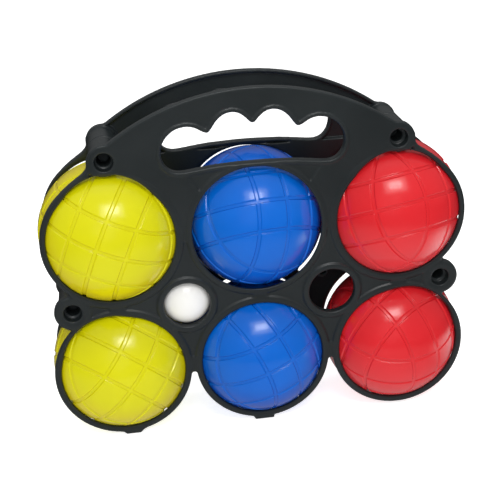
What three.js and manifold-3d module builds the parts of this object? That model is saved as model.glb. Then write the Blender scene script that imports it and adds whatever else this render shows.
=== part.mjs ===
// Boules (bocce) set in a two-part carrier.
// Two injection-moulded carrier halves of one outline, one turned half round about Z, push together
// on four posts and trap six water-filled balls and one small jack between them. They differ at the
// two jack seats, open in the front half and closed in the back half, and in the ball openings:
// in the front half the upper middle one is wider and the outer four are eased towards the posts.
// Millimetres, +Z up, X along the carrier, the front half faces -Y. The origin is on the ground,
// midway between the two halves and under the middle column of balls.
import * as THREE from "three";
import { mergeVertices } from "three/addons/utils/BufferGeometryUtils.js";
import Module from "manifold-3d";

// ---------------------------------------------------------------- dimensions
// balls
const BALL_R = 36;
const BALL_WALL = 2.2;
const PITCH_X = 72.4; // spacing of the three columns
const PITCH_Z = 72.4; // spacing of the two rows
const Z_BOTTOM = 36.7; // height of the lower row's centres
const Z_TOP = Z_BOTTOM + PITCH_Z;
const PLUG_R = 4.5; // filler plug
const PLUG_T = 6;
const WATER_R = BALL_R - BALL_WALL - 0.3;
const WATER_LEVEL = 27; // height of the water surface over the ball's centre

// depths of a carrier half, which is modelled facing -Y
const FACE_Y = -21; // outer face
const WEB_T = 2.2; // wall of the face
const RING_T = 3.4; // depth of the rings
const FLANGE_T = 4.2; // depth of the flange round the handle
const WEB_Y = FACE_Y + WEB_T;
const RING_Y = FACE_Y + RING_T;
const FLANGE_Y = FACE_Y + FLANGE_T;
const CUT_Y = FACE_Y - 2; // where through cuts start, clear of the face
const FLANGE_W = 1.8; // thickness of the flange
const LIP_PROUD = 0.4; // the lip of the hand opening stands this far out of the face
const RECESS = 0.9; // depth of the sunk webs

// rings
const HOLE_R = 31; // opening that holds a ball, smaller than the ball
const SEAT_R = 33; // a ring opens inwards to this radius, to seat the ball
const WIDE_HOLE_R = 32; // the same two for the upper middle ring of the front half
const WIDE_SEAT_R = 33.7;
const TOP_RING_R = 34.6; // outsides of the rings
const LOW_RING_R = 35.1;
const COLLAR_R = 35.2; // edge of the raised collar on the face
const EASE_R = 26; // radius of the easing towards a post
const TOP_EASE_REACH = 34.5; // how far the easing reaches from the ring's centre
const LOW_EASE_REACH = 33.5;

// jack and its seats
const JACK_R = 13.5;
const JACK_X = 37.4;
const JACK_Y = -9.6; // the jack leans forward into its seat
const JACK_Z = 71.3;
const JACK_HOLE_R = 11.9;
const JACK_COLLAR_R = 15;
const STOP_R = 3.4; // hollow stop behind each closed seat
const STOP_BORE_R = 2;
const STOP_GAP = 1.1; // room between the stop and the jack

// posts, as x, z of the right-hand ones
const TOP_POST = [72.2, 149.9];
const LOW_POST = [94.8, 72.9];
const TOP_BOSS_R = 8.3;
const LOW_BOSS_R = 9.3;
const POST_R = 7.5;
const POST_GAP = 0.3; // seam between the two posts of a pair
const EYE_R = 4.6; // eye in the face over each post
const EYE_DEPTH = 5;
const CORE_R = 3; // blind core behind the eye of a spigot post
const CORE_END_Y = -6;
const SOCKET_R = 3.4;
const SPIGOT_R = 3.1;
const SPIGOT_L = 10; // how far a pin reaches past the middle plane
const TIP_L = 1.2; // tapered end of the pin
const TIP_INSET = 0.8;

// facets round each kind of round part
const FACETS = { ring: 40, jack: 28, boss: 24, post: 20, pin: 16, plug: 12 };

// The balls need this room where they pass the posts; the flats of the faceted cutter keep it.
const CLEAR = 0.5;
const PASS_R = (BALL_R + CLEAR) / Math.cos(Math.PI / FACETS.ring);
const PASS_FROM = -15;
const PASS_TO = 16;

// handle
const ARCH_R = 121;
const ARCH_Z = 60; // height of the arch's centre
const ARCH_STEPS = 24;
const ARCH_REACH = 75.2; // half width where the arch ends
const FOOT_X = 80.2; // half width at the feet of the arch

// webs and the arms out to the lower posts
const WEB_BOTTOM = 32.6;
const WEB_RISE = 4; // above the upper row's centres
const ARM_HALF_H = 6.9; // half height of an arm at its post
const ARM_ROOT_HALF_H = 10.4; // and at the outer column
const SUNK_MARGIN = 3.2; // from a column's centre line to a sunk web
const SUNK_BOTTOM = 41.5;
const SUNK_TOP = 106.4;
const SUNK_ARM_END = 85.7;

// ---------------------------------------------------------------- outlines, all as x, z
const mirrored = (points) => points.map(([x, z]) => [-x, z]).reverse();

// Hand opening with four finger grooves along its upper edge: right side, bottom to top.
const HAND_RIGHT = [
  [0, 144.1], [10, 144.0], [20, 143.5], [28, 142.6], [34, 141.9], [38, 142.0],
  [41.2, 143.4], [43.6, 146.3], [44.8, 149.8], [44.9, 152.6], [44.0, 156.2], [41.8, 159.7],
  [38.2, 162.6], [34.6, 163.8], [31.2, 164.0], [27.8, 163.1], [24.6, 161.2], [22.6, 160.4],
  [21.2, 160.8], [19.6, 162.8], [17.2, 166.0], [13.8, 168.6], [10.0, 169.5], [6.4, 168.7],
  [3.4, 166.4], [1.3, 164.2], [0, 163.6],
];
const HAND_OPENING = [...HAND_RIGHT, ...mirrored(HAND_RIGHT.slice(1, -1))];

// Straight shoulder from the left upper ring up to its boss.
const SHOULDER = [
  [-80.2, 148.2], [-83.6, 144.8], [-87.0, 142.4], [-90.6, 139.5],
  [-94.0, 136.0], [-92, 132], [-80, 140],
];

// Feet under the middle and the left lower ring.
const FEET = [
  [[-7, 3], [-5.4, 0], [4.8, 0], [5, 3]],
  [[-77, 3], [-74.2, 0], [-66.6, 0], [-63.4, 3.4]],
];

// Sunk pocket below the right half of the hand opening.
const HAND_POCKET = [
  [12, 141.9], [22, 141.3], [30, 140.1], [33.4, 139.6], [30.4, 135.4], [27.4, 130.4], [20, 134],
];

// Slot through the right closed jack seat.
const SLOT = [[29.2, 65.6], [42.2, 86.6], [39.0, 88.6], [26.0, 67.6]];

// Rectangle between two corners.
function rectangle(left, bottom, right, top) {
  return [[left, bottom], [right, bottom], [right, top], [left, top]];
}

// Body of the handle: the arch, its shoulders, and the web down to the upper row.
function handleOutline(inset = 0) {
  const radius = ARCH_R - inset;
  const start = Math.acos((ARCH_REACH - inset) / radius);
  const arch = [];
  for (let i = 0; i <= ARCH_STEPS; i++) {
    const angle = start + ((Math.PI - 2 * start) * i) / ARCH_STEPS;
    arch.push([radius * Math.cos(angle), ARCH_Z + radius * Math.sin(angle)]);
  }
  const foot = FOOT_X - inset;
  const leftSide = [
    [-foot, 151.5 - inset * 0.6],
    [-foot, 146.5],
    [-76 + inset, 141],
    [-PITCH_X, Z_TOP],
  ];
  return [...arch, ...leftSide, ...mirrored(leftSide)];
}

// Web between the rings, out to the lower bosses and down to the lower row.
function webOutline() {
  const [postX, postZ] = LOW_POST;
  const rightSide = [
    [PITCH_X, WEB_BOTTOM],
    [PITCH_X, postZ - ARM_ROOT_HALF_H],
    [postX, postZ - ARM_HALF_H],
    [postX, postZ + ARM_HALF_H],
    [PITCH_X, postZ + ARM_ROOT_HALF_H],
    [PITCH_X, Z_TOP + WEB_RISE],
  ];
  return [...rightSide, ...mirrored(rightSide)];
}

// Moves each point outwards, square to the line between its neighbours.
function widened(points, distance) {
  const count = points.length;
  return points.map(([x, z], i) => {
    const before = points[(i + count - 1) % count];
    const after = points[(i + 1) % count];
    const runX = after[0] - before[0];
    const runZ = after[1] - before[1];
    const length = Math.hypot(runX, runZ);
    return [x + (distance * runZ) / length, z - (distance * runX) / length];
  });
}

// ---------------------------------------------------------------- solid modelling helpers
const wasm = await Module();
wasm.setup();

function solid(geometry) {
  const bare = geometry.index ? geometry.toNonIndexed() : geometry.clone();
  bare.deleteAttribute("normal");
  bare.deleteAttribute("uv");
  const merged = mergeVertices(bare, 1e-4);
  return new wasm.Manifold(
    new wasm.Mesh({
      numProp: 3,
      vertProperties: new Float32Array(merged.attributes.position.array),
      triVerts: new Uint32Array(merged.index.array),
    }),
  );
}

function geometryOf(body) {
  const { vertProperties, triVerts } = body.getMesh();
  const indexed = new THREE.BufferGeometry();
  const positions = new THREE.BufferAttribute(new Float32Array(vertProperties), 3);
  indexed.setAttribute("position", positions);
  indexed.setIndex(new THREE.BufferAttribute(new Uint32Array(triVerts), 1));
  const flat = indexed.toNonIndexed();
  flat.computeVertexNormals();
  return flat;
}

const join = (bodies) => bodies.reduce((sum, body) => sum.add(body));
const withMirror = (body) => body.add(body.mirror([1, 0, 0]));

// A cone along Y, centred on (x, z), with its own radius at each end.
function cone(fromR, toR, from, to, x, z, facets = FACETS.ring) {
  const geometry = new THREE.CylinderGeometry(toR, fromR, to - from, facets);
  geometry.translate(x, (from + to) / 2, z);
  return solid(geometry);
}

// A disc or bar along Y.
function rod(radius, from, to, x, z, facets) {
  return cone(radius, radius, from, to, x, z, facets);
}

// A prism along Y whose outline lies in the XZ plane.
function prism(points, from, to) {
  const shape = new THREE.Shape(points.map(([x, z]) => new THREE.Vector2(x, z)));
  const geometry = new THREE.ExtrudeGeometry(shape, { depth: to - from, bevelEnabled: false });
  geometry.rotateX(Math.PI / 2);
  geometry.translate(0, to, 0);
  return solid(geometry);
}

// A sphere about the origin, its poles on Z.
function sphere(radius, around, high) {
  const geometry = new THREE.SphereGeometry(radius, around, high);
  geometry.rotateX(Math.PI / 2);
  return solid(geometry);
}

// A bar from the origin's surroundings outwards along a unit vector.
function bar(radius, from, to, direction) {
  const geometry = new THREE.CylinderGeometry(radius, radius, to - from, FACETS.plug);
  geometry.translate(0, (from + to) / 2, 0);
  const up = new THREE.Vector3(0, 1, 0);
  geometry.applyQuaternion(new THREE.Quaternion().setFromUnitVectors(up, direction));
  return solid(geometry);
}

// ---------------------------------------------------------------- parts of a carrier half
const JACK_SEATS = [-JACK_X, JACK_X].map((x) => [x, JACK_Z]);
const POSTS = [
  [...TOP_POST, TOP_BOSS_R],
  [...LOW_POST, LOW_BOSS_R],
];

// The six rings, the upper row first.
function ringList(closed) {
  const rings = [];
  for (const z of [Z_TOP, Z_BOTTOM]) {
    for (const x of [-PITCH_X, 0, PITCH_X]) {
      const wide = !closed && x === 0 && z === Z_TOP;
      rings.push({
        x,
        z,
        outR: z === Z_TOP ? TOP_RING_R : LOW_RING_R,
        holeR: wide ? WIDE_HOLE_R : HOLE_R,
        seatR: wide ? WIDE_SEAT_R : SEAT_R,
      });
    }
  }
  return rings;
}

// Flange folded inwards along the arch; its cutter runs on downwards, so the foot stays open.
function archFlange() {
  const inside = handleOutline(FLANGE_W).map(([x, z]) => [x, z < 140 ? z - 12 : z]);
  return prism(handleOutline(), FACE_Y, FLANGE_Y).subtract(
    prism(inside, FACE_Y - 1, FLANGE_Y + 1),
  );
}

// Everything solid on the face, before the openings are cut.
function faceBody(rings) {
  let body = join([
    prism(handleOutline(), FACE_Y, WEB_Y),
    archFlange(),
    prism(widened(HAND_OPENING, FLANGE_W), FACE_Y - LIP_PROUD, FLANGE_Y),
    prism(webOutline(), FACE_Y, WEB_Y),
  ]);
  for (const { x, z, outR } of rings) body = body.add(rod(outR, FACE_Y, RING_Y, x, z));
  for (const [x, z] of JACK_SEATS) {
    body = body.add(rod(JACK_COLLAR_R, FACE_Y, RING_Y, x, z, FACETS.jack));
  }
  for (const side of [-1, 1]) {
    for (const [x, z, bossR] of POSTS) {
      body = body.add(rod(bossR, FACE_Y, FLANGE_Y, side * x, z, FACETS.boss));
    }
  }
  for (const outline of [...FEET, SHOULDER, mirrored(SHOULDER)]) {
    body = body.add(prism(outline, FACE_Y, RING_Y));
  }
  return body;
}

// Eases the outer openings towards their posts.
function easeOpenings(half) {
  for (const side of [-1, 1]) {
    for (const [ringZ, [postX, postZ], reach] of [
      [Z_TOP, TOP_POST, TOP_EASE_REACH],
      [Z_BOTTOM, LOW_POST, LOW_EASE_REACH],
    ]) {
      const runX = postX - PITCH_X;
      const runZ = postZ - ringZ;
      const share = (reach - EASE_R) / Math.hypot(runX, runZ);
      const x = side * (PITCH_X + share * runX);
      half = half.subtract(rod(EASE_R, CUT_Y, 0, x, ringZ + share * runZ));
    }
  }
  return half;
}

// Openings for the balls, the jacks and the hand.
function cutOpenings(half, rings, closed) {
  for (const { x, z, holeR } of rings) half = half.subtract(rod(holeR, CUT_Y, 0, x, z));
  if (!closed) {
    half = easeOpenings(half);
    for (const [x, z] of JACK_SEATS) {
      half = half.subtract(rod(JACK_HOLE_R, CUT_Y, 0, x, z, FACETS.jack));
    }
  }
  return half.subtract(prism(HAND_OPENING, CUT_Y, 0));
}

// Cutter for the sunk webs; it leaves the collars standing.
function sunkWebs(rings) {
  const armZ = LOW_POST[1];
  const outlines = [
    rectangle(SUNK_MARGIN, SUNK_BOTTOM, PITCH_X - SUNK_MARGIN, SUNK_TOP),
    rectangle(PITCH_X + SUNK_MARGIN, armZ - ARM_HALF_H, SUNK_ARM_END, armZ + ARM_HALF_H),
    HAND_POCKET,
  ];
  const panels = outlines.map((outline) => prism(outline, FACE_Y - 1, FACE_Y + RECESS));
  let sunk = withMirror(join(panels));
  for (const { x, z } of rings) sunk = sunk.subtract(rod(COLLAR_R, CUT_Y, FACE_Y + 2, x, z));
  for (const [x, z] of JACK_SEATS) {
    sunk = sunk.subtract(rod(JACK_COLLAR_R, CUT_Y, FACE_Y + 2, x, z, FACETS.jack));
  }
  return sunk;
}

// Posts: with the half facing -Y, sockets at -X and spigots at +X.
function addPosts(half) {
  const tipStart = SPIGOT_L - TIP_L;
  for (const [x, z] of POSTS) {
    half = join([
      half,
      rod(POST_R, FACE_Y + 1, -POST_GAP / 2, -x, z, FACETS.post),
      rod(POST_R, FACE_Y + 1, -POST_GAP / 2, x, z, FACETS.post),
      rod(SPIGOT_R, -2, tipStart, x, z, FACETS.pin),
      cone(SPIGOT_R, SPIGOT_R - TIP_INSET, tipStart, SPIGOT_L, x, z, FACETS.pin),
    ]);
    for (const eyeX of [x, -x]) {
      half = half.subtract(rod(EYE_R, CUT_Y, FACE_Y + EYE_DEPTH, eyeX, z, FACETS.post));
    }
    half = half.subtract(rod(SOCKET_R, FACE_Y, 2, -x, z, FACETS.pin));
    half = half.subtract(rod(CORE_R, FACE_Y, CORE_END_Y, x, z, FACETS.pin));
  }
  return half;
}

// Each ring opens inwards, and the posts are scalloped where they pass the balls.
function cutSeats(half, rings) {
  for (const { x, z, holeR, seatR } of rings) {
    half = half.subtract(cone(holeR, seatR, FACE_Y, RING_Y, x, z));
    half = half.subtract(cone(seatR, PASS_R, RING_Y, PASS_FROM, x, z));
    half = half.subtract(rod(PASS_R, PASS_FROM, PASS_TO, x, z));
  }
  return half;
}

// Closed jack seats are dished outside, with a slot beside a hollow stop inside.
function closeJackSeats(half) {
  const stopEnd = -(JACK_Y + JACK_R + STOP_GAP);
  for (const [x, z] of JACK_SEATS) {
    half = half.subtract(rod(JACK_HOLE_R, CUT_Y, FACE_Y + RECESS, x, z, FACETS.jack));
    half = half.subtract(prism(x < 0 ? mirrored(SLOT) : SLOT, CUT_Y, RING_Y + 1));
    const stop = rod(STOP_R, WEB_Y - 0.4, stopEnd, x, z, FACETS.post);
    half = half.add(stop.subtract(rod(STOP_BORE_R, WEB_Y, 0, x, z, FACETS.post)));
  }
  return half;
}

function carrierHalf({ closed }) {
  const rings = ringList(closed);
  let half = cutOpenings(faceBody(rings), rings, closed);
  half = half.subtract(sunkWebs(rings));
  half = addPosts(half);
  half = cutSeats(half, rings);
  if (closed) half = closeJackSeats(half);
  return half.asOriginal().simplify(0.02);
}

// ---------------------------------------------------------------- materials
const plastic = ({ color, roughness }) =>
  new THREE.MeshStandardMaterial({ color, roughness, metalness: 0 });
const carrierPlastic = () => plastic({ color: 0x2b2e30, roughness: 0.5 });
const shellPlastic = (color) => plastic({ color, roughness: 0.25 });
const plugPlastic = (color) => plastic({ color, roughness: 0.4 });
const waterMaterial = () => plastic({ color: 0xbfd9e6, roughness: 0.1 });
const jackPlastic = () => plastic({ color: 0xf4f2ea, roughness: 0.3 });

const COLOURS = {
  yellow: { shell: 0xe2dc14, plug: 0xb9b40f },
  blue: { shell: 0x1462d2, plug: 0x0f4fb0 },
  red: { shell: 0xdf2530, plug: 0xb81c26 },
};

// ---------------------------------------------------------------- the set
const set = new THREE.Group();
set.name = "boules_set";

function place(parent, name, body, material) {
  const mesh = new THREE.Mesh(geometryOf(body), material);
  mesh.name = name;
  parent.add(mesh);
}

const front = new THREE.Group();
place(front, "front_carrier_half", carrierHalf({ closed: false }), carrierPlastic());
set.add(front);

const back = new THREE.Group();
back.rotation.z = Math.PI;
place(back, "back_carrier_half", carrierHalf({ closed: true }), carrierPlastic());
set.add(back);

// Balls: a blow-moulded shell with a filler hole, a press-in plug, and the water inside.
const hollowShell = sphere(BALL_R, 24, 14).subtract(sphere(BALL_R - BALL_WALL, 12, 8));
const plugLimit = sphere(BALL_R - 0.1, 24, 14); // the plug's head follows the ball's outside
const aboveWater = prism(rectangle(-50, WATER_LEVEL, 50, 60), -50, 50);
const water = sphere(WATER_R, 12, 8).subtract(aboveWater);

// row, colour, centre x, y, z, plug direction; each rests a little forward or back in its ring
const REST_Y = -2.5;
const BALLS = [
  ["top", "yellow", -PITCH_X, REST_Y, Z_TOP, [0.22, 0.95, 0.2]],
  ["top", "blue", 0.8, 1.0, Z_TOP, [-0.15, 0.95, -0.26]],
  ["top", "red", PITCH_X, REST_Y, Z_TOP, [-0.3, 0.93, 0.18]],
  ["bottom", "yellow", -PITCH_X, REST_Y, Z_BOTTOM, [0.1, 0.94, 0.34]],
  ["bottom", "blue", 0, REST_Y, Z_BOTTOM, [0.3, 0.93, -0.2]],
  ["bottom", "red", PITCH_X, REST_Y, Z_BOTTOM, [-0.12, 0.96, -0.22]],
];

for (const [row, colour, x, y, z, plugDirection] of BALLS) {
  const name = `${colour}_ball_${row}`;
  const direction = new THREE.Vector3(...plugDirection).normalize();
  const plugStart = BALL_R - PLUG_T;
  const hole = bar(PLUG_R + 0.3, plugStart - 1, BALL_R + 4, direction);
  const plug = bar(PLUG_R, plugStart, BALL_R + 2, direction).intersect(plugLimit);
  const pocket = bar(PLUG_R + 0.6, plugStart - 0.3, BALL_R, direction);
  const pod = new THREE.Group();
  pod.position.set(x, y, z);
  place(pod, name + "_shell", hollowShell.subtract(hole), shellPlastic(COLOURS[colour].shell));
  place(pod, name + "_plug", plug, plugPlastic(COLOURS[colour].plug));
  place(pod, name + "_water", water.subtract(pocket), waterMaterial());
  set.add(pod);
}

// Jack: the small white target ball in the left seat; the right seat is spare.
const jack = new THREE.Mesh(new THREE.SphereGeometry(JACK_R, 20, 12), jackPlastic());
jack.name = "jack";
jack.rotation.x = Math.PI / 2;
jack.position.set(-JACK_X, JACK_Y, JACK_Z);
set.add(jack);

export default set;
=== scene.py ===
"""Six water-filled boules and a jack, held between the two halves of a moulded carrier.

The carrier stands on the floor at z = 0, x runs across it, and its front face looks along -y.
The boules sit in two rows of three. The back half is built facing the front like the front
half, then turned half a turn about z. Sizes are in millimetres, scaled to metres as each mesh
is made; lights and camera are in metres.
"""
import math

import bmesh
import bpy
import numpy as np
from mathutils import Matrix, Vector


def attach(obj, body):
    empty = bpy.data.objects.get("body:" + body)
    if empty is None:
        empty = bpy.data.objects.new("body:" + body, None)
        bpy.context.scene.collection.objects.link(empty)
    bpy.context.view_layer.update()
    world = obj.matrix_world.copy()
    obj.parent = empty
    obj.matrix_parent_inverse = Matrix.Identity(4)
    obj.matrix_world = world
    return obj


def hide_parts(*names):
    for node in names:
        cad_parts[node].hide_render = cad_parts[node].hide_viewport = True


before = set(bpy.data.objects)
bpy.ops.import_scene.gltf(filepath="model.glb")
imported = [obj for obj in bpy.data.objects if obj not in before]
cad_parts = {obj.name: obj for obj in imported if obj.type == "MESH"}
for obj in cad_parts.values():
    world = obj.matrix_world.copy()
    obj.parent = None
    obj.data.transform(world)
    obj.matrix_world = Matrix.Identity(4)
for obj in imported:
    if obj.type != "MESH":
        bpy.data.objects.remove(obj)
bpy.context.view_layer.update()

MM = 0.001

# ------------------------------------------------------------------ sizes, in millimetres
BALL_R = 36.0
PITCH = 72.4  # between neighbouring boules, across and up
Z_LOW = 36.7
Z_TOP = Z_LOW + PITCH
RINGS = [(x, z) for z in (Z_TOP, Z_LOW) for x in (-PITCH, 0.0, PITCH)]

FACE_Y = -21.0  # outer face of the front half
HOLE_R = 31.0  # opening at the face
SEAT_R = 32.72  # opening at the back of the ring
RING_R = 34.6
COLLAR_R = 35.2  # raised bead round an opening
WIDE_HOLE, WIDE_SEAT = 1.0, 0.98  # added to the upper middle opening of the front half
LOW_EXTRA = 0.5  # added to the outside of the lower rings
RING_T, WEB_T, FLANGE_T, FLANGE_W = 3.4, 2.2, 4.4, 1.7
RECESS = 0.95  # depth of the sunk fields
PLAIN_DEPTH = 0.28  # depth of the plain face below the beads

JACK_X, JACK_Y, JACK_Z = 37.4, -9.6, 71.3
JACK_SEATS = [(JACK_X, JACK_Z), (-JACK_X, JACK_Z)]
JACK_R, JACK_HOLE, JACK_COLLAR = 13.5, 11.9, 15.0
JACK_BEAD_R = 13.6  # highest line of the bead round a jack seat
JACK_FLOOR_DEPTH = 0.9
STOP_R, STOP_BORE, STOP_END = 3.4, 2.0, -5.0  # hollow stop behind a closed jack seat
SLOT = [(29.2, 65.6), (42.2, 86.6), (39.0, 88.6), (26.0, 67.6)]  # beside a closed jack seat

TOP_POST, LOW_POST = (72.2, 149.9), (94.8, 72.9)
TOP_BOSS, LOW_BOSS = 8.3, 9.3
LOW_PAD_R = 8.9  # raised pad on a low boss
EYE_R, EYE_DEEP = 4.6, 5.0  # blind hole in the face over a post
POST_R, POST_GAP = 7.4, 0.15
SPIGOT_R, SPIGOT_L, SPIGOT_ROOT = 3.1, 10.0, -3.0
SOCKET_R = 3.4
CORE_R, CORE_END = 3.0, -6.0  # hollow in a post with a spigot
SKIN = 1.0  # depth below the face at which posts and bores begin

# the outer openings of the front half are eased towards the post beside them
EASE_R = 26.0
EASED = []
for row_z, post, ease_reach in ((Z_TOP, TOP_POST, 34.5), (Z_LOW, LOW_POST, 33.5)):
    step_x, step_z = post[0] - PITCH, post[1] - row_z
    span = math.hypot(step_x, step_z)
    ease = ease_reach - EASE_R
    for sign in (-1, 1):
        EASED.append((sign * (PITCH + ease * step_x / span), row_z + ease * step_z / span))

# boules: centre (x, y, z), first and second groove axes, direction of the filler plug
BALLS = {
    "yellow_ball_top": (
        (-PITCH, -2.5, Z_TOP), (0.3928, -0.0100, 0.9195), (-0.8966, 0.2181, 0.3854),
        (0.22, 0.95, 0.2)),
    "blue_ball_top": (
        (0.8, 0.6, Z_TOP - 0.3), (0.0640, -0.5089, -0.8585), (-0.9254, -0.3522, 0.1398),
        (-0.15, 0.95, -0.26)),
    "red_ball_top": (
        (PITCH, -2.5, Z_TOP), (0.1612, -0.3320, -0.9294), (-0.7553, -0.6476, 0.1004),
        (-0.3, 0.93, 0.18)),
    "yellow_ball_bottom": (
        (-PITCH, -2.5, Z_LOW), (-0.5399, -0.4252, -0.7264), (-0.7787, -0.0754, 0.6229),
        (0.1, 0.94, 0.34)),
    "blue_ball_bottom": (
        (0.0, -2.5, Z_LOW), (-0.8548, -0.4049, -0.3246), (0.3528, 0.0055, -0.9357),
        (0.3, 0.93, -0.2)),
    "red_ball_bottom": (
        (PITCH, -2.5, Z_LOW), (-0.8460, -0.4800, -0.2321), (0.0038, -0.4408, 0.8976),
        (-0.12, 0.96, -0.22)),
}

# ------------------------------------------------------------------ outlines, as (x, z) points
# right foot of the arch, from the upper right boule to the end of the arc
ARCH_FOOT = [(PITCH, Z_TOP), (76, 141), (80.2, 146.5), (80.2, 151.5)]
ARCH_R, ARCH_Z, ARCH_REACH = 121.0, 60.0, 75.2  # the arc spans x = -ARCH_REACH to ARCH_REACH
# right half of the web between the boules, with its arm to the low post
WEB_SIDE = [
    (PITCH, 32.6), (PITCH, 62.5), (LOW_POST[0], 66), (LOW_POST[0], 79.8), (PITCH, 83.3),
    (PITCH, Z_TOP + 4),
]
MIDDLE_FOOT = [(-7.2, 4), (-5.4, 0), (4.8, 0), (5.0, 4)]
SIDE_FOOT = [(-77.5, 4), (-74.2, 0), (-66.6, 0), (-62.5, 4)]
# left shoulder, below the top boss
SHOULDER = [
    (-79.8, 148.0), (-83.2, 144.5), (-86.7, 142.1), (-90.3, 139.2), (-93.6, 135.8), (-92, 132),
    (-80, 140),
]
# right half of the hand hole, from the bottom middle round to the top middle
HAND_SIDE = [
    (0, 144.1), (10, 144.0), (20, 143.5), (28, 142.6), (34, 141.9), (38, 142.0), (41.2, 143.4),
    (43.6, 146.3), (44.8, 149.8), (44.9, 152.6), (44.0, 156.2), (41.8, 159.7), (38.2, 162.6),
    (34.6, 163.8), (31.2, 164.0), (27.8, 163.1), (24.6, 161.2), (22.6, 160.4), (21.2, 160.8),
    (19.6, 162.8), (17.2, 166.0), (13.8, 168.6), (10.0, 169.5), (6.4, 168.7), (3.4, 166.4),
    (1.3, 164.2), (0, 163.6),
]
# sunk fields on the right: between the boules, on the arm to the low post, under the hand hole
SUNK_MIDDLE = (3.4, 69.0, 41.6, 106.2)  # x from, x to, z from, z to
SUNK_ARM = (75.8, 86.2, 66.0, 79.8)
SUNK_EAR = [
    (12, 141.4), (22, 140.8), (30, 139.8), (33.2, 139.3), (30.4, 135.4), (27.4, 130.4), (20, 134),
]


# ------------------------------------------------------------------ small numeric helpers
def smooth(start, end, x):
    """Smooth step from 0 at start to 1 at end."""
    t = np.clip((x - start) / (end - start), 0.0, 1.0)
    return t * t * (3.0 - 2.0 * t)


def smin(a, b, blend):
    """Minimum with a rounded join."""
    h = np.clip(0.5 + 0.5 * (b - a) / blend, 0.0, 1.0)
    return b + (a - b) * h - blend * h * (1.0 - h)


def smax(a, b, blend):
    return -smin(-a, -b, blend)


def mirror(points):
    """The points on the other side of x = 0, in reverse order."""
    return [(-x, z) for x, z in reversed(points)]


def catmull(points, per):
    """Closed Catmull-Rom curve, with per steps to each point."""
    p = np.array(points, float)
    count = len(p)
    out = []
    for i in range(count):
        a, b, c, d = (p[(i + k) % count] for k in (-1, 0, 1, 2))
        for s in range(per):
            t = s / per
            square = (2 * a - 5 * b + 4 * c - d) * t * t
            cube = (3 * b - a - 3 * c + d) * t**3
            out.append(0.5 * (2 * b + (c - a) * t + square + cube))
    return np.array(out)


def polygon_sdf(outline, X, Z):
    """Signed distance to a closed outline, negative inside."""
    p = np.array(outline, float)
    best = np.full(X.shape, 1e9, np.float32)
    inside = np.zeros(X.shape, bool)
    for i in range(len(p)):
        a, b = p[i], p[(i + 1) % len(p)]
        edge_x, edge_z = b - a
        square = edge_x * edge_x + edge_z * edge_z
        if square < 1e-12:
            continue
        from_x, from_z = X - a[0], Z - a[1]
        t = np.clip((from_x * edge_x + from_z * edge_z) / square, 0, 1)
        best = np.minimum(best, (from_x - t * edge_x) ** 2 + (from_z - t * edge_z) ** 2)
        if abs(edge_z) > 1e-12:
            crosses = (a[1] > Z) != (b[1] > Z)
            inside ^= crosses & (X < edge_x * (Z - a[1]) / edge_z + a[0])
    distance = np.sqrt(best)
    return np.where(inside, -distance, distance)


def box_field(box, X, Z):
    x0, x1, z0, z1 = box
    return np.maximum(np.maximum(x0 - X, X - x1), np.maximum(z0 - Z, Z - z1))


def nearest(points, X, Z, widen=lambda x, z: 0.0):
    """Distance to the nearest point, less what widen gives for that point."""
    return np.minimum.reduce([np.hypot(X - x, Z - z) - widen(x, z) for x, z in points])


def both_sides(point):
    return [point, (-point[0], point[1])]


# ------------------------------------------------------------------ carrier half
def body_outline():
    start = math.acos(ARCH_REACH / ARCH_R)
    steps = 90
    angles = [start + (math.pi - 2 * start) * i / steps for i in range(steps + 1)]
    arc = [(ARCH_R * math.cos(a), ARCH_Z + ARCH_R * math.sin(a)) for a in angles]
    return ARCH_FOOT + arc + mirror(ARCH_FOOT)


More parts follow.
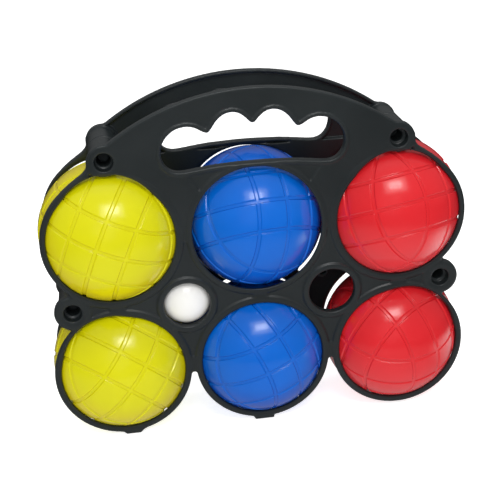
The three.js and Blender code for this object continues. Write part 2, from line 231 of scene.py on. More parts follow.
class CarrierField:
    """A carrier half as a field over (x, y, z), negative inside.

    It is made from plan outlines in x and z, and two maps of depth behind the face plane.
    With closed set, the jack seats have a floor with a hollow stop.
    """

    def __init__(self, xs, zs, closed):
        self.closed = closed
        self.X, self.Z = (a.astype(np.float32) for a in np.meshgrid(xs, zs, indexing="ij"))
        self.abs_x = np.abs(self.X)
        self.left = self.X < 0
        self.measure_distances()
        self.draw_plan()
        self.shape_face()
        self.set_thickness()

    def measure_distances(self):
        X, Z, closed = self.X, self.Z, self.closed

        def wider(x, z):
            return WIDE_HOLE if x == 0 and z == Z_TOP and not closed else 0.0

        self.ring = nearest(RINGS, X, Z)
        eased = np.full(X.shape, 1e3, np.float32) if closed else nearest(EASED, X, Z)
        self.opening = smin(nearest(RINGS, X, Z, wider), eased + HOLE_R - EASE_R, 0.8)
        self.jack = nearest(JACK_SEATS, X, Z)
        self.top_post = nearest(both_sides(TOP_POST), X, Z)
        self.low_post = nearest(both_sides(LOW_POST), X, Z)
        # the wide opening has a wide seat behind it
        at_wide = (np.hypot(X, Z - Z_TOP) < PITCH / 2) & (not closed)
        self.seat_extra = np.where(at_wide, WIDE_SEAT, 0.0).astype(np.float32)

    def draw_plan(self):
        X, Z = self.X, self.Z
        self.body = polygon_sdf(body_outline(), X, Z)
        self.hand = polygon_sdf(catmull(HAND_SIDE + mirror(HAND_SIDE[1:-1]), per=5), X, Z)
        self.feet = np.minimum(polygon_sdf(MIDDLE_FOOT, X, Z), polygon_sdf(SIDE_FOOT, X, Z))
        outside = nearest(RINGS, X, Z, lambda x, z: LOW_EXTRA if z == Z_LOW else 0.0)
        self.out = self.body
        for shape, blend in (
            (outside - RING_R, 1.6),
            (polygon_sdf(WEB_SIDE + mirror(WEB_SIDE), X, Z), 1.2),
            (self.top_post - TOP_BOSS, 1.2),
            (polygon_sdf(SHOULDER, -self.abs_x, Z), 1.6),
            (self.low_post - LOW_BOSS, 2.6),
            (self.feet, 0.8),
        ):
            self.out = smin(self.out, shape, blend)
        if self.closed:
            cut = -polygon_sdf(SLOT, self.abs_x, Z)
        else:
            cut = JACK_HOLE - self.jack
        self.inner = np.maximum(-self.hand, cut)
        # the edges of the openings are well rounded
        self.soft = 0.95 + smooth(2.2, 0.8, np.abs(self.opening - HOLE_R))

    def shape_face(self):
        """Depth of the outer surface below the face plane."""
        ring, jack, low_post, hand = self.ring, self.jack, self.low_post, self.hand
        abs_x, Z = self.abs_x, self.Z
        sunk = np.minimum(box_field(SUNK_MIDDLE, abs_x, Z), box_field(SUNK_ARM, abs_x, Z))
        sunk = np.minimum(sunk, polygon_sdf(SUNK_EAR, abs_x, Z))
        keep = np.minimum(ring - COLLAR_R, np.minimum(jack - JACK_COLLAR, low_post - LOW_PAD_R))
        deep = RECESS * smooth(0.15, -0.75, smax(sunk, -keep, 0.9))
        # the beads stand a little proud of the plain face
        ring_bead = smooth(COLLAR_R + 0.5, COLLAR_R - 0.1, ring)
        jack_bead = smooth(JACK_COLLAR + 0.25, JACK_COLLAR - 0.35, jack)
        low_bead = smooth(LOW_PAD_R, 8.2, low_post)
        plain = PLAIN_DEPTH * (1 - np.maximum(np.maximum(ring_bead, jack_bead), low_bead))
        if self.closed:
            seat_floor = smooth(JACK_HOLE + 0.2, JACK_HOLE - 0.5, jack)
            deep = np.maximum(deep, JACK_FLOOR_DEPTH * seat_floor)
        # round lip along the hand hole: middle 1.05 from the edge, half width 1.15, height 0.62
        lip = np.sqrt(np.clip(1 - ((hand - 1.05) / 1.15) ** 2, 0, 1)) * 0.62
        self.front = np.maximum(deep, plain) - lip * (hand > -0.2)

        # crown of the round beads: highest in the middle of the bead
        def crown(distance, middle):
            return np.clip(1 - ((distance - middle) / 1.5) ** 2, 0, 1)

        self.front -= 0.22 * crown(ring, 0.5 * (HOLE_R + COLLAR_R)) * ring_bead
        self.front -= 0.18 * crown(jack, JACK_BEAD_R)
        # pads of the low bosses dish down to the eye
        self.front += 0.30 * smooth(7.2, 5.2, low_post)

    def set_thickness(self):
        """Depth of the back of the moulding below the face plane."""
        ring_step, flange_step = RING_T - WEB_T, FLANGE_T - WEB_T
        back = WEB_T + ring_step * smooth(COLLAR_R + 0.6, COLLAR_R - 0.2, self.ring)
        rim = smooth(JACK_COLLAR + 0.5, JACK_COLLAR - 0.3, self.jack)
        if self.closed:
            rim = rim * smooth(JACK_HOLE - 0.5, JACK_HOLE + 0.2, self.jack)
        back = np.maximum(back, WEB_T + ring_step * rim)
        arch = np.where(self.Z > 141, self.body, 99.0)
        for flange in (
            smooth(-FLANGE_W - 0.35, -FLANGE_W + 0.35, arch),
            smooth(FLANGE_W + 0.35, FLANGE_W - 0.35, self.hand),
            smooth(TOP_BOSS + 0.3, TOP_BOSS - 0.4, self.top_post),
            smooth(LOW_BOSS + 0.3, LOW_BOSS - 0.4, self.low_post),
        ):
            back = np.maximum(back, WEB_T + flange_step * flange)
        self.back = np.maximum(back, RING_T * (self.feet < 0.3))

    def value(self, y, window=slice(None)):
        """Field at the planes y (an array), over the window of the (x, z) grid."""

        def part(a):
            return a[window][:, None, :]

        y = np.asarray(y, np.float32)[None, :, None]
        depth = y - FACE_Y
        ring, left = part(self.ring), part(self.left)
        post_dist = np.minimum(part(self.top_post), part(self.low_post))
        off = 9.0  # a field value well clear of the surface

        # plate with its openings
        seat = HOLE_R + (SEAT_R - HOLE_R) * np.clip(depth / RING_T, 0, 1)
        hole = np.maximum(HOLE_R - part(self.opening), seat + part(self.seat_extra) - ring)
        side = smax(part(self.out), np.maximum(part(self.inner), hole), 0.3)
        plate = smax(side, part(self.front) - depth, part(self.soft))
        plate = smax(plate, depth - part(self.back), 0.7)

        # posts, with spigots on the right
        post = smax(post_dist - POST_R, y + POST_GAP, 0.7)
        post = np.maximum(post, SKIN - depth)
        pin = smax(post_dist - SPIGOT_R, y - SPIGOT_L, 1.4)
        pin = np.maximum(np.maximum(pin, SPIGOT_ROOT - y), np.where(left, off, -off))
        solid = np.minimum(smin(plate, post, 0.9), pin)
        if self.closed:
            jack = part(self.jack)
            stop = smax(smax(jack - STOP_R, y - STOP_END, 0.5), STOP_BORE - jack, 0.5)
            stop = np.maximum(stop, FACE_Y + WEB_T - 0.6 - y)
            solid = smin(solid, stop, 0.8)

        # sockets in the left posts, cores in the right ones, and an eye in the face over each
        socket = np.maximum(post_dist - SOCKET_R, np.where(left, -off, off))
        core = np.maximum(post_dist - CORE_R, np.where(left, off, y - CORE_END))
        above = FACE_Y + SKIN - y
        bore = np.minimum(smax(socket, above, 0.3), smax(core, above, 0.3))
        solid = smax(solid, -bore, 0.35)
        eye = smax(post_dist - EYE_R, depth - EYE_DEEP, 0.8)
        solid = smax(solid, -eye, 0.5)

        # scallop of the posts round the balls, opening out from the seat
        seat_in = SEAT_R + part(self.seat_extra)
        opened = np.clip((depth - RING_T) / 2.6, 0, 1)
        reach = seat_in + (BALL_R + 0.6 - seat_in) * opened
        scoop = reach - ring - np.where(y > FACE_Y + RING_T - 0.1, 0.0, off)
        return smax(solid, scoop, 0.35)


def surface_nets(origin, step, blocks):
    """Closed quad surface where the field is zero on a regular lattice.

    blocks lists (i0, j0, k0, values): a first lattice index and the field from there on.
    """

    def code(i, j, k):
        return (i * 2048 + j) * 2048 + k

    keys, points, quads = [], [], []
    crossings = [[], [], []]
    for i0, j0, k0, v in blocks:
        # one vertex to each mixed cell, at the mean of the crossings on its edges
        inside = v < 0
        cells = np.zeros([n - 1 for n in v.shape], np.int16)
        corners = [(a, b, c) for a in (0, 1) for b in (0, 1) for c in (0, 1)]
        for a, b, c in corners:
            cells += inside[a : a + cells.shape[0], b : b + cells.shape[1], c : c + cells.shape[2]]
        i, j, k = np.nonzero((cells > 0) & (cells < 8))
        total = np.zeros((len(i), 3))
        count = np.zeros(len(i))
        for near in corners:
            for axis in range(3):
                if near[axis]:
                    continue
                far = list(near)
                far[axis] = 1
                va = v[i + near[0], j + near[1], k + near[2]]
                vb = v[i + far[0], j + far[1], k + far[2]]
                hit = (va < 0) != (vb < 0)
                t = np.where(hit, va / np.where(hit, va - vb, 1), 0)
                position = np.tile(np.array(near, float), (len(i), 1))
                position[:, axis] += t
                total += position * hit[:, None]
                count += hit
        keys.append(code(i + i0, j + j0, k + k0))
        points.append(np.stack([i + i0, j + j0, k + k0], 1) + total / count[:, None])
        # lattice edges that cross the surface
        for axis in range(3):
            lower, upper = [slice(None)] * 3, [slice(None)] * 3
            lower[axis] = slice(0, -1)
            upper[axis] = slice(1, None)
            a, b = inside[tuple(lower)], inside[tuple(upper)]
            i, j, k = np.nonzero(a != b)
            flip = a[i, j, k].astype(np.int64)
            i, j, k = i + i0, j + j0, k + k0
            crossings[axis].append(np.stack([code(i, j, k), i, j, k, flip], 1))

    # blocks overlap, so repeats are dropped
    keys, first = np.unique(np.concatenate(keys), return_index=True)
    points = np.concatenate(points)[first]
    for axis in range(3):
        edges = np.concatenate(crossings[axis])
        _, first = np.unique(edges[:, 0], return_index=True)
        edges = edges[first]
        u, w = (axis + 1) % 3, (axis + 2) % 3
        around = []
        for du, dw in ((-1, -1), (0, -1), (0, 0), (-1, 0)):
            cell = edges[:, 1:4].copy()
            cell[:, u] += du
            cell[:, w] += dw
            around.append(code(cell[:, 0], cell[:, 1], cell[:, 2]))
        around = np.stack(around, 1)
        at = np.clip(np.searchsorted(keys, around), 0, len(keys) - 1)
        good = (keys[at] == around).all(1)
        at = at[good]
        forward = edges[good, 4].astype(bool)
        at[~forward] = at[~forward][:, ::-1]
        quads.append(at)
    return points * step + np.array(origin), np.concatenate(quads)


def keep_largest(xyz, quads):
    """Drops any loose scrap, so that the moulding is one closed body."""
    parent = np.arange(len(xyz))
    a = quads.ravel()
    b = np.roll(quads, 1, axis=1).ravel()
    for _ in range(200):
        low = np.minimum(parent[a], parent[b])
        new = parent.copy()
        np.minimum.at(new, a, low)
        np.minimum.at(new, b, low)
        new = new[new]
        if (new == parent).all():
            break
        parent = new
    ids, count = np.unique(parent, return_counts=True)
    quads = quads[parent[quads[:, 0]] == ids[count.argmax()]]
    used, inverse = np.unique(quads.ravel(), return_inverse=True)
    return xyz[used], inverse.reshape(quads.shape)


def carrier_surface(closed):
    """Vertices in millimetres and quads of a half. The plate is one slab, each post a tower."""
    step = 0.5
    margin, half_width, height = 1.5, 110.0, 182.5
    slab_depth, tower_reach = 7.6, 11
    ox, oy, oz = -half_width, FACE_Y - margin, -margin
    nx = int(round(2 * half_width / step)) + 1
    nz = int(round((height + margin) / step)) + 1
    field = CarrierField(ox + step * np.arange(nx), oz + step * np.arange(nz), closed)
    n_slab = int(math.ceil(slab_depth / step))
    blocks = [(0, 0, 0, field.value(oy + step * np.arange(n_slab + 1)))]
    n_all = int(math.ceil((SPIGOT_L + margin - oy) / step))
    tower_y = oy + step * np.arange(n_slab, n_all + 1)
    towers = both_sides(TOP_POST) + both_sides(LOW_POST)
    if closed:
        towers += JACK_SEATS
    for x, z in towers:
        i0, i1 = (int((x + r - ox) / step) for r in (-tower_reach, tower_reach))
        k0, k1 = (int((z + r - oz) / step) for r in (-tower_reach, tower_reach))
        window = (slice(i0, i1 + 1), slice(k0, k1 + 1))
        blocks.append((i0, n_slab, k0, field.value(tower_y, window)))
    return keep_largest(*surface_nets((ox, oy, oz), step, blocks))


def link_object(name, mesh):
    ob = bpy.data.objects.new(name, mesh)
    bpy.context.scene.collection.objects.link(ob)
    return ob


def make_mesh(name, verts, faces, smooth_shade=True):
    """Mesh object from arrays: verts (n, 3) in metres, faces (m, 3 or 4)."""
    mesh = bpy.data.meshes.new(name)
    verts = np.asarray(verts, np.float32)
    faces = np.asarray(faces, np.int32)
    count, sides = faces.shape
    mesh.vertices.add(len(verts))
    mesh.vertices.foreach_set("co", verts.ravel())
    mesh.loops.add(count * sides)
    mesh.loops.foreach_set("vertex_index", faces.ravel())
    mesh.polygons.add(count)
    mesh.polygons.foreach_set("loop_start", np.arange(0, count * sides, sides, dtype=np.int32))
    mesh.polygons.foreach_set("use_smooth", np.full(count, smooth_shade))
    mesh.update(calc_edges=True)
    mesh.validate()
    return link_object(name, mesh)


# ------------------------------------------------------------------ balls
# the grooves are great circles on three axes, and circles 24 degrees either side
GROOVE_TILT = math.radians(24.0)
GROOVE_HALF, GROOVE_WALL, GROOVE_DEPTH = 0.95, 0.60, 0.55  # half width at mid wall, wall, depth
# grid lines across half a groove, from its middle
GROOVE_LINES = [0.0, 0.36, 0.64, 0.73, 0.84, 0.95, 1.06, 1.17, 1.26, 1.55]
STRAIGHT_END = 0.52  # beyond this sine, the grid lines lean towards the cube edge
LAND_R = 6.2, 7.2  # the grooves fade in between these distances from the plug
CUBE_TURNS = [
    np.array(turn)
    for turn in (
        [[1, 0, 0], [0, 1, 0], [0, 0, 1]],
        [[1, 0, 0], [0, -1, 0], [0, 0, -1]],
        [[0, 0, 1], [1, 0, 0], [0, 1, 0]],
        [[0, 0, -1], [-1, 0, 0], [0, 1, 0]],
        [[0, 1, 0], [0, 0, 1], [1, 0, 0]],
        [[0, -1, 0], [0, 0, -1], [1, 0, 0]],
    )
]


def cube_sphere(face):
    """Unit sphere from six turned copies of a square face grid, welded at the seams."""
    n = face.shape[0]
    index = np.arange(n * n).reshape(n, n)
    quad = np.stack([index[:-1, :-1], index[1:, :-1], index[1:, 1:], index[:-1, 1:]], -1)
    quad = quad.reshape(-1, 4)
    verts = np.concatenate([face.reshape(-1, 3) @ turn.T for turn in CUBE_TURNS])
    quads = np.concatenate([quad + k * n * n for k in range(6)])
    key = np.round(verts * 1e5).astype(np.int64)
    _, first, inverse = np.unique(key, axis=0, return_index=True, return_inverse=True)
    return verts[first], inverse.reshape(-1)[quads]


def straight_lines():
    """Sines of the grid lines over half a face that run straight, from the middle out."""
    groove = GROOVE_TILT * BALL_R
    edge = GROOVE_LINES[-1]
    lines = {round(c + s * d, 5) for c in (0.0, groove) for d in GROOVE_LINES for s in (-1, 1)}

    def divide(start, end, count, last):
        for i in range(1, last + 1):
            lines.add(round(start + (end - start) * i / count, 5))

    count = 13
    divide(edge, groove - edge, count, count - 1)
    count = 3
    divide(groove + edge, math.asin(STRAIGHT_END) * BALL_R, count, count)
    return [math.sin(line / BALL_R) for line in sorted(lines) if line >= 0]


def groove_face():
    """Unit vectors of one face grid, whose lines run along the grooves of both families."""
    # a line is (leaning, value, sign): a sine if straight, else a fraction of the way to the edge
    n = 13
    lines = [(0, value) for value in straight_lines()] + [(1, i / n) for i in range(1, n + 1)]
    lines = [(*line, -1) for line in lines[:0:-1]] + [(*line, 1) for line in lines]
    (lean_i, lean_j), (value_i, value_j), (sign_i, sign_j) = (
        np.meshgrid(column, column, indexing="ij") for column in map(np.array, zip(*lines))
    )

    def place(lean, value, other):
        rho = np.sqrt(1 - other**2)
        start = np.arcsin(np.clip(STRAIGHT_END / rho, 0, 1))
        angle = start + (math.pi / 4 - start) * value
        return np.where(lean == 0, value, rho * np.sin(angle))

    # x and y depend on each other, so they are settled by repetition
    x = np.where(lean_i == 0, value_i, 0.6)
    y = np.where(lean_j == 0, value_j, 0.6)
    for _ in range(60):
        x = place(lean_i, value_i, y)
        y = place(lean_j, value_j, x)
    z = np.sqrt(np.clip(1 - x * x - y * y, 0, 1))
    return np.stack([x * sign_i, y * sign_j, z], -1)


def groove_depth(unit):
    """How far the surface is let in at the unit vectors, in millimetres."""
    best = np.zeros(len(unit))
    half_wall = GROOVE_WALL / 2
    for axis in range(3):
        latitude = np.arcsin(np.clip(unit[:, axis], -1, 1))
        for c in (-GROOVE_TILT, 0.0, GROOVE_TILT):
            away = np.abs(latitude - c) * BALL_R
            wall = smooth(GROOVE_HALF - half_wall, GROOVE_HALF + half_wall, away)
            best = np.maximum(best, 1 - wall)
    return best * GROOVE_DEPTH


BALL_VERTS, BALL_QUADS = cube_sphere(groove_face())
BALL_GROOVES = groove_depth(BALL_VERTS)


def build_ball(name):
    centre, first, second, plug = BALLS[name]
    a = Vector(first).normalized()
    b = Vector(second)
    b = (b - a * b.dot(a)).normalized()
    world = BALL_VERTS @ np.array([a, b, a.cross(b)])
    plug = np.array(plug, float)
    plug /= np.linalg.norm(plug)
    from_plug = np.arccos(np.clip(world @ plug, -1, 1)) * BALL_R
    radius = BALL_R - BALL_GROOVES * smooth(*LAND_R, from_plug)
    verts = (world * radius[:, None] + np.array(centre)) * MM
    return make_mesh(name + "_boule", verts, BALL_QUADS)


def lathe(name, profile, segments, matrix):
    """Closed solid of revolution about local Z; the profile runs from axis to axis."""
    bm = bmesh.new()
    rings = []
    for r, z in profile:
        if r < 1e-9:
            rings.append([bm.verts.new((0, 0, z * MM))])
            continue
        angles = [2 * math.pi * i / segments for i in range(segments)]
        rings.append(
            [bm.verts.new((r * MM * math.cos(a), r * MM * math.sin(a), z * MM)) for a in angles]
        )
    for a, b in zip(rings[:-1], rings[1:]):
        for i in range(segments):
            j = (i + 1) % segments
            if len(a) == 1:
                bm.faces.new((a[0], b[j], b[i]))
            elif len(b) == 1:
                bm.faces.new((a[i], a[j], b[0]))
            else:
                bm.faces.new((a[i], a[j], b[j], b[i]))
    bmesh.ops.recalc_face_normals(bm, faces=bm.faces)
    bmesh.ops.transform(bm, matrix=matrix, verts=bm.verts)
    mesh = bpy.data.meshes.new(name)
    bm.to_mesh(mesh)
    bm.free()
    for polygon in mesh.polygons:
        polygon.use_smooth = True
    return link_object(name, mesh)


PLUG_R, PLUG_PROUD = 4.45, 0.15
PLUG_BASE = [(0, 30.0), (4.3, 30.0), (PLUG_R, 30.4)]  # radius, distance from the ball's centre
# radius, drop below the dome of the plug
PLUG_CAP = [
    (PLUG_R, 0.55), (4.38, 0.25), (4.2, 0.06), (3.95, 0), (3.4, 0), (3.15, 0.08), (3.0, 0.35),
    (2.7, 0.5), (1.6, 0.5), (1.1, 0.45), (0.9, 0.15), (0.6, 0.05), (0, 0.03),
]


def build_plug(name):
    centre, _, _, direction = BALLS[name]
    turn = Vector(direction).normalized().to_track_quat("Z", "Y").to_matrix().to_4x4()
    dome = BALL_R + PLUG_PROUD
    cap = [(r, math.sqrt(dome**2 - r * r) - drop) for r, drop in PLUG_CAP]
    place = Matrix.Translation([c * MM for c in centre])
    return lathe(name + "_filler_plug", PLUG_BASE + cap, segments=48, matrix=place @ turn)


def build_jack():
    n = 56
    t = np.tan(np.linspace(-math.pi / 4, math.pi / 4, n))
    across, along = np.meshgrid(t, t, indexing="ij")
    face = np.stack([across, along, np.ones_like(across)], -1)
    face /= np.linalg.norm(face, axis=-1, keepdims=True)
    verts, quads = cube_sphere(face)
    # mould line round the middle, tilted, and the stub of a gate where it was cut off
    axis = np.array([0.25, 0.35, 0.9])
    axis /= np.linalg.norm(axis)
    line = np.exp(-((verts @ axis * JACK_R) / 0.28) ** 2) * 0.07
    gate = np.array([0.62, 0.72, -0.31])
    gate /= np.linalg.norm(gate)
    away = np.arccos(np.clip(verts @ gate, -1, 1)) * JACK_R
    stub = 0.16 * smooth(1.9, 1.3, away) - 0.12 * smooth(2.9, 2.2, away)
    radius = JACK_R + line + stub
    centre = np.array([-JACK_X, JACK_Y, JACK_Z])
    return make_mesh("jack_ball", (verts * radius[:, None] + centre) * MM, quads)


# ------------------------------------------------------------------ shader helpers
def feed(tree, socket, value):
    """Links a socket to the input, or sets a plain value on it."""
    if isinstance(value, bpy.types.NodeSocket):
        tree.links.new(value, socket)
    elif value is not None:
        socket.default_value = value


def add_node(tree, kind, inputs={}):
    node = tree.nodes.new(kind)
    for key, value in inputs.items():
        feed(tree, node.inputs[key], value)
    return node


def new_material(name):
    material = bpy.data.materials.new(name)
    material.use_nodes = True
    tree = material.node_tree
    tree.nodes.clear()
    output = add_node(tree, "ShaderNodeOutputMaterial")
    bsdf = add_node(tree, "ShaderNodeBsdfPrincipled")
    tree.links.new(bsdf.outputs[0], output.inputs[0])
    return material, tree, bsdf


def set_inputs(tree, node, **values):
    """Feeds inputs by name, with underscores for spaces."""
    for key, value in values.items():
        feed(tree, node.inputs[key.replace("_", " ")], value)


def noise(tree, vector, scale, detail=3.0, rough=0.5, distortion=0.0):
    inputs = {"Scale": scale, "Detail": detail, "Roughness": rough, "Distortion": distortion}
    return add_node(tree, "ShaderNodeTexNoise", {**inputs, "Vector": vector}).outputs["Fac"]


def remap(tree, value, span, to):
    inputs = {
        "From Min": span[0], "From Max": span[1], "To Min": to[0], "To Max": to[1], "Value": value,
    }
    return add_node(tree, "ShaderNodeMapRange", inputs).outputs["Result"]


def mix_colour(tree, factor, low, high):
    low, high = ((*c, 1) if isinstance(c, tuple) else c for c in (low, high))
    node = add_node(tree, "ShaderNodeMix")
    node.data_type = "RGBA"
    for i, value in ((0, factor), (6, low), (7, high)):
        feed(tree, node.inputs[i], value)
    return node.outputs[2]


def math_node(tree, operation, a, b):
    node = add_node(tree, "ShaderNodeMath", {0: a, 1: b})
    node.operation = operation
    return node.outputs[0]


def bump(tree, height, strength, distance, normal=None):
    inputs = {"Strength": strength, "Distance": distance, "Height": height, "Normal": normal}
    return add_node(tree, "ShaderNodeBump", inputs).outputs[0]


def coords(tree):
    return add_node(tree, "ShaderNodeTexCoord").outputs["Object"]


# ------------------------------------------------------------------ materials
def carrier_plastic():
    """Near-black plastic with cloudy patches, and convex edges lightened as a painted highlight.
    """
    material, tree, bsdf = new_material("carrier_moulded_plastic")
    v = coords(tree)
    cloudy = noise(tree, v, scale=34, detail=4, rough=0.55, distortion=0.4)
    flow = noise(tree, v, scale=9, detail=2, distortion=1.2)
    fine = noise(tree, v, scale=2600, detail=2, rough=0.6)
    grain = noise(tree, v, scale=900, rough=0.6)
    geometry = add_node(tree, "ShaderNodeNewGeometry")
    edge = remap(tree, geometry.outputs["Pointiness"], span=(0.5, 0.62), to=(0.0, 1.0))
    patches = remap(tree, cloudy, span=(0.3, 0.7), to=(0, 1))
    base = mix_colour(tree, patches, low=(0.0140, 0.0182, 0.0198), high=(0.0188, 0.0236, 0.0252))
    streaks = remap(tree, flow, span=(0.35, 0.75), to=(0, 0.5))
    base = mix_colour(tree, streaks, low=base, high=(0.0150, 0.0182, 0.0182))
    # painted highlight: convex edges, found by pointiness, are lightened towards a paler grey to
    # stand in for the light they catch
    painted_edge_highlight = math_node(tree, "MULTIPLY", edge, 0.4)
    base = mix_colour(tree, painted_edge_highlight, low=base, high=(0.040, 0.045, 0.047))
    broad = remap(tree, cloudy, span=(0.25, 0.75), to=(0.31, 0.41))
    small = remap(tree, grain, span=(0.3, 0.7), to=(-0.03, 0.03))
    normal = bump(tree, fine, strength=0.10, distance=0.0001)
    set_inputs(
        tree, bsdf,
        Base_Color=base,
        Roughness=math_node(tree, "ADD", broad, small),
        Specular_IOR_Level=0.42,
        Normal=bump(tree, cloudy, strength=0.06, distance=0.0012, normal=normal),
    )
    return material


def ball_plastic(
    name, body, deep, light, spec=0.42, rough=0.18, sss=0.04, limb_shade=None, floor_reflection=None
):
    """Glossy plastic: deep is painted shade for the hollows, limb painted shade for the
    turned-away rim, under a painted reflection of the floor on the underside.
    """
    material, tree, bsdf = new_material(name)
    v = coords(tree)
    cloud = noise(tree, v, scale=28, detail=4, rough=0.55, distortion=0.3)
    peel = noise(tree, v, scale=210, detail=2)
    fine = noise(tree, v, scale=1500, rough=0.6)
    geometry = add_node(tree, "ShaderNodeNewGeometry")
    groove = remap(tree, geometry.outputs["Pointiness"], span=(0.5, 0.44), to=(0.0, 1.0))
    patches = remap(tree, cloud, span=(0.3, 0.7), to=(0, 1))
    base = mix_colour(tree, patches, low=body, high=light)
    # painted shade: grooves and other hollows, found by pointiness, are mixed towards the darker
    # deep colour
    base = mix_colour(tree, math_node(tree, "MULTIPLY", groove, 0.55), low=base, high=deep)
    if limb_shade is not None:
        # painted shade: the rim that turns away from the camera is mixed towards the darker limb
        # colour
        facing = add_node(tree, "ShaderNodeLayerWeight", {"Blend": 0.5}).outputs["Facing"]
        rim = remap(tree, facing, span=(0.30, 0.72), to=(0.0, 0.75))
        base = mix_colour(tree, rim, low=base, high=limb_shade)
    if floor_reflection is not None:
        # painted reflection: where the surface faces the ground it is mixed towards a paler pink,
        # as if the white floor were seen in it
        inputs = {0: geometry.outputs["Normal"]}
        up_part = add_node(tree, "ShaderNodeSeparateXYZ", inputs).outputs["Z"]
        reflected_floor_glow = remap(tree, up_part, span=(0.05, -0.55), to=(0.0, 0.9))
        base = mix_colour(tree, reflected_floor_glow, low=base, high=floor_reflection)
    scuff = noise(tree, v, scale=90, detail=6, rough=0.7, distortion=1.5)
    broad = remap(tree, scuff, span=(0.35, 0.75), to=(rough - 0.02, rough + 0.06))
    small = remap(tree, fine, span=(0.3, 0.7), to=(-0.015, 0.015))
    normal = bump(tree, peel, strength=0.05, distance=0.0006)
    set_inputs(
        tree, bsdf,
        Base_Color=base,
        Roughness=math_node(tree, "ADD", broad, small),
        Specular_IOR_Level=spec,
        Subsurface_Weight=sss,
        Subsurface_Radius=(1.0, 1.0, 1.0),
        Subsurface_Scale=0.0012,
        Coat_Weight=0.25,
        Coat_Roughness=0.10,
        Normal=bump(tree, fine, strength=0.03, distance=0.0001, normal=normal),
    )
    return material


def water_material():
    material, tree, bsdf = new_material("water_inside")
    ripple = noise(tree, coords(tree), scale=60, detail=2)
    set_inputs(
        tree, bsdf,
        Base_Color=mix_colour(tree, ripple, low=(0.55, 0.72, 0.80), high=(0.70, 0.83, 0.88)),
        Roughness=0.08,
        IOR=1.33,
        Normal=bump(tree, ripple, strength=0.2, distance=0.0005),
    )
    return material


def floor_material():
    """White paper, with a brightness of its own for the camera and for reflections."""
    material, tree, bsdf = new_material("floor_paper")
    surface = bsdf.outputs[0].links[0].to_socket
    paper = noise(tree, coords(tree), scale=30)
    colour = mix_colour(tree, paper, low=(0.86, 0.86, 0.86), high=(0.88, 0.88, 0.88))
    rays = add_node(tree, "ShaderNodeLightPath").outputs
    position = add_node(tree, "ShaderNodeNewGeometry").outputs["Position"]

    def pool(centre, span, to):
        node = add_node(tree, "ShaderNodeVectorMath", {0: position, 1: centre})
        node.operation = "DISTANCE"
        return remap(tree, node.outputs["Value"], span, to)

    # reflections see a small bright pool on the right and a wide dim one in front
    right_pool = pool((0.215, -0.02, 0.0), span=(0.105, 0.03), to=(0.04, 1.7))
    front_pool = pool((0.0, -0.13, 0.0), span=(0.36, 0.12), to=(0.04, 0.34))
    seen = math_node(tree, "MAXIMUM", right_pool, front_pool)
    reflected_floor_glow = add_node(tree, "ShaderNodeEmission", {"Strength": seen})
    set_inputs(
        tree, bsdf,
        Base_Color=colour,
        Emission_Color=colour,
        Emission_Strength=remap(tree, rays["Is Camera Ray"], span=(0.0, 1.0), to=(0.30, 0.85)),
        Roughness=0.9,
        Specular_IOR_Level=0.1,
    )
    inputs = {0: rays["Is Glossy Ray"], 1: bsdf.outputs[0], 2: reflected_floor_glow.outputs[0]}
    feed(tree, surface, add_node(tree, "ShaderNodeMixShader", inputs).outputs[0])
    return material


MAT_CARRIER = carrier_plastic()
# the deep colours are painted shade for the grooves, and the limb colours painted shade for the
# turned-away rim
MAT_BALL = {
    "yellow": ball_plastic(
        "boule_plastic_yellow", body=(0.645, 0.615, 0.001), deep=(0.50, 0.435, 0.001),
        light=(0.690, 0.665, 0.002), limb_shade=(0.66, 0.52, 0.004)),
    "blue": ball_plastic(
        "boule_plastic_blue", body=(0.001, 0.116, 0.560), deep=(0.001, 0.055, 0.365),
        light=(0.001, 0.130, 0.605), limb_shade=(0.004, 0.050, 0.400)),
    # under is a painted reflection of the white floor on the red undersides
    "red": ball_plastic(
        "boule_plastic_red", body=(0.655, 0.014, 0.020), deep=(0.48, 0.007, 0.010),
        light=(0.705, 0.020, 0.027), limb_shade=(0.62, 0.012, 0.022), floor_reflection=(0.72, 0.050, 0.058)),
}
# plug colours: body, deep (painted shade for the hollows), light
PLUG_COLOURS = {
    "yellow": ((0.52, 0.47, 0.004), (0.40, 0.34, 0.002), (0.56, 0.51, 0.006)),
    "blue": ((0.005, 0.080, 0.430), (0.003, 0.045, 0.28), (0.007, 0.095, 0.48)),
    "red": ((0.50, 0.012, 0.018), (0.36, 0.006, 0.009), (0.55, 0.018, 0.024)),
}
MAT_PLUG = {
    colour: ball_plastic("plug_plastic_" + colour, *shades, spec=0.4, rough=0.38, sss=0.0)
    for colour, shades in PLUG_COLOURS.items()
}
# the jack's deep colour is painted shade for its mould line, and its limb colour painted shade for
# the turned-away rim
MAT_JACK = ball_plastic(
    "jack_plastic", body=(0.86, 0.855, 0.83), deep=(0.72, 0.69, 0.60),
    light=(0.90, 0.895, 0.875), spec=0.45, rough=0.22, sss=0.1, limb_shade=(0.70, 0.68, 0.62))
MAT_WATER = water_material()


# ------------------------------------------------------------------ build
def fit(ob, material, rides, replaces):
    """Gives a piece its material and its place in the frame."""
    ob.data.materials.append(material)
    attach(ob, rides)
    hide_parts(replaces)


for side, closed, turn in (("front", False, (1.0, 1.0, 1.0)), ("back", True, (-1.0, -1.0, 1.0))):
    xyz, quads = carrier_surface(closed)
    half = make_mesh(side + "_half_moulding", xyz * np.array(turn) * MM, quads)
    fit(half, MAT_CARRIER, side + "_half", side + "_carrier_half")

for name in BALLS:
    colour = name.split("_")[0]
    fit(build_ball(name), MAT_BALL[colour], name, name + "_shell")
    fit(build_plug(name), MAT_PLUG[colour], name, name + "_plug")
    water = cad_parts[name + "_water"]
    water.data.materials.clear()
    water.data.materials.append(MAT_WATER)

fit(build_jack(), MAT_JACK, "jack", "jack")

FLOOR_CORNERS = [(-6, -6, 0), (6, -6, 0), (6, 6, 0), (-6, 6, 0)]
floor = make_mesh("floor", FLOOR_CORNERS, [(0, 1, 2, 3)], smooth_shade=False)
floor.data.materials.append(floor_material())


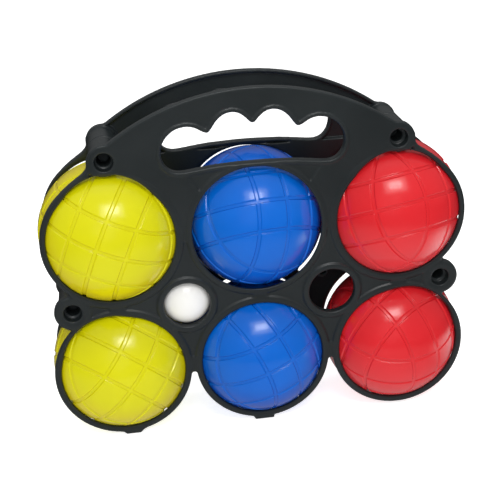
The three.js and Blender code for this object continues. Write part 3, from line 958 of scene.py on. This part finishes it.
# ------------------------------------------------------------------ light
def build_world():
    """White to the camera, even in reflections, and brighter from above as light."""
    world = bpy.data.worlds.new("studio")
    bpy.context.scene.world = world
    world.use_nodes = True
    tree = world.node_tree
    tree.nodes.clear()
    output = add_node(tree, "ShaderNodeOutputWorld")
    inputs = {"Color": (1, 1, 1, 1), "Strength": 1.0}
    seen = add_node(tree, "ShaderNodeBackground", inputs)
    incoming = add_node(tree, "ShaderNodeNewGeometry").outputs["Incoming"]
    height = add_node(tree, "ShaderNodeSeparateXYZ", {0: incoming}).outputs["Z"]
    sky = remap(tree, height, span=(0.3, -1.0), to=(0.04, 0.58))
    rays = add_node(tree, "ShaderNodeLightPath").outputs
    reflected = 0.50
    strength = add_node(tree, "ShaderNodeMix", {0: rays["Is Glossy Ray"], 2: reflected, 3: sky})
    lit = add_node(tree, "ShaderNodeBackground", {"Strength": strength.outputs[0]})
    inputs = {0: rays["Is Camera Ray"], 1: lit.outputs[0], 2: seen.outputs[0]}
    mixed = add_node(tree, "ShaderNodeMixShader", inputs)
    tree.links.new(mixed.outputs[0], output.inputs[0])


def area(name, where, aim, size, power, size_y=None, glossy=True):
    """Area light: a rectangle if size_y is given, else a disk."""
    data = bpy.data.lights.new(name, "AREA")
    data.energy = power
    data.shape = "RECTANGLE" if size_y else "DISK"
    data.size = size
    if size_y:
        data.size_y = size_y
    ob = link_object(name, data)
    ob.location = where
    ob.rotation_euler = (Vector(aim) - Vector(where)).to_track_quat("-Z", "Y").to_euler()
    ob.visible_glossy = glossy


build_world()
MIDDLE = (0, 0, 0.09)
area("key_core", where=(0.05, -0.80, 1.06), aim=MIDDLE, size=0.44, size_y=0.24, power=2.6)
area("key_wide", where=(0.05, -0.81, 1.07), aim=MIDDLE, size=0.80, size_y=0.50, power=2.6)
area("top_box", where=(0.0, 0.10, 1.3), aim=(0, 0, 0.1), size=1.0, size_y=0.7, power=5.0,
     glossy=False)
area("front_fill", where=(-0.3, -1.6, 0.75), aim=MIDDLE, size=1.2, power=8.6, glossy=False)


# ------------------------------------------------------------------ camera
def build_camera():
    """Looks down at the front face from in front, a little to the left."""
    pan, tilt, roll = math.radians(7.60), math.radians(22.43), math.radians(-2.56)
    target = Vector((0.0, FACE_Y * MM, 0.09719))
    distance = 0.5399
    look = Vector(
        (math.sin(pan) * math.cos(tilt), math.cos(pan) * math.cos(tilt), -math.sin(tilt))
    )
    level = look.cross(Vector((0, 0, 1))).normalized()
    up = level.cross(look)
    rolled_right = level * math.cos(roll) + up * math.sin(roll)
    rolled_up = up * math.cos(roll) - level * math.sin(roll)
    data = bpy.data.cameras.new("camera")
    camera = link_object("camera", data)
    turn = Matrix((rolled_right, rolled_up, -look)).transposed().to_4x4()
    camera.matrix_world = Matrix.Translation(target - look * distance) @ turn
    data.sensor_width = 36.0
    data.lens = 77.54616
    data.shift_x = -0.01692
    data.shift_y = 0.0027
    data.clip_start = 0.01
    bpy.context.scene.camera = camera


build_camera()
view = bpy.context.scene.view_settings
view.view_transform = "Standard"
view.look = "None"
view.exposure = 0.0
